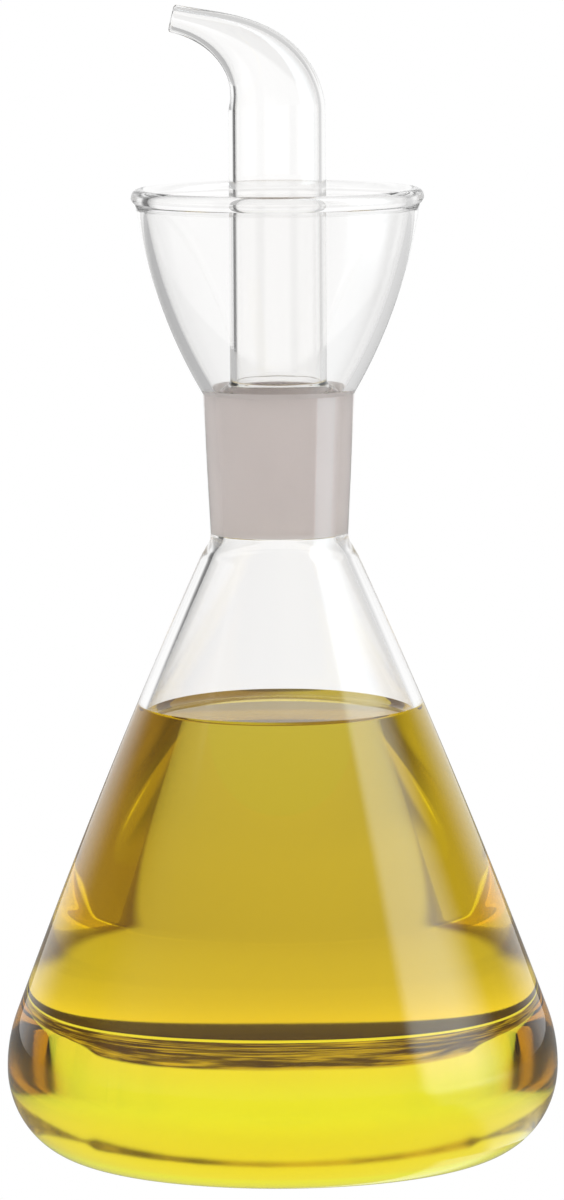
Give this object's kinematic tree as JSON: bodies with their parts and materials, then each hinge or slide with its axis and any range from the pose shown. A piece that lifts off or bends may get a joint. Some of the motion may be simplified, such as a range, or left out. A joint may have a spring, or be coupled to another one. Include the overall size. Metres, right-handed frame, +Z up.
{
  "type": "oil bottle",
  "caption": "Drip-free glass oil bottle: conical flask with ground neck and open drip cup, and a hollow ground-in pourer that ends in a bent, tapering spout.",
  "frame": {"origin": "centre of the foot ring, on the surface the bottle stands on", "axes": "+Z up along the flask's axis; the spout points towards -X"},
  "size_m": [0.1054, 0.1054, 0.2198],
  "materials": {
    "clear_glass": "clear borosilicate glass, fire polished",
    "ground_glass": "glass with its joint face ground to a fine matt frost",
    "olive_oil": "clear golden green oil"
  },
  "bodies": {
    "flask": {"flask_body": "clear_glass", "neck_socket": "ground_glass", "drip_cup": "clear_glass", "oil_fill": "olive_oil"},
    "pourer": {"ground_plug": "ground_glass", "riser_tube": "clear_glass", "pour_spout": "clear_glass"}
  },
  "joints": [
    {"name": "pourer_lift", "type": "slide", "parent": "flask", "child": "pourer", "axis": [0, 0, 1], "range_m": [0, 0.07]}
  ]
}
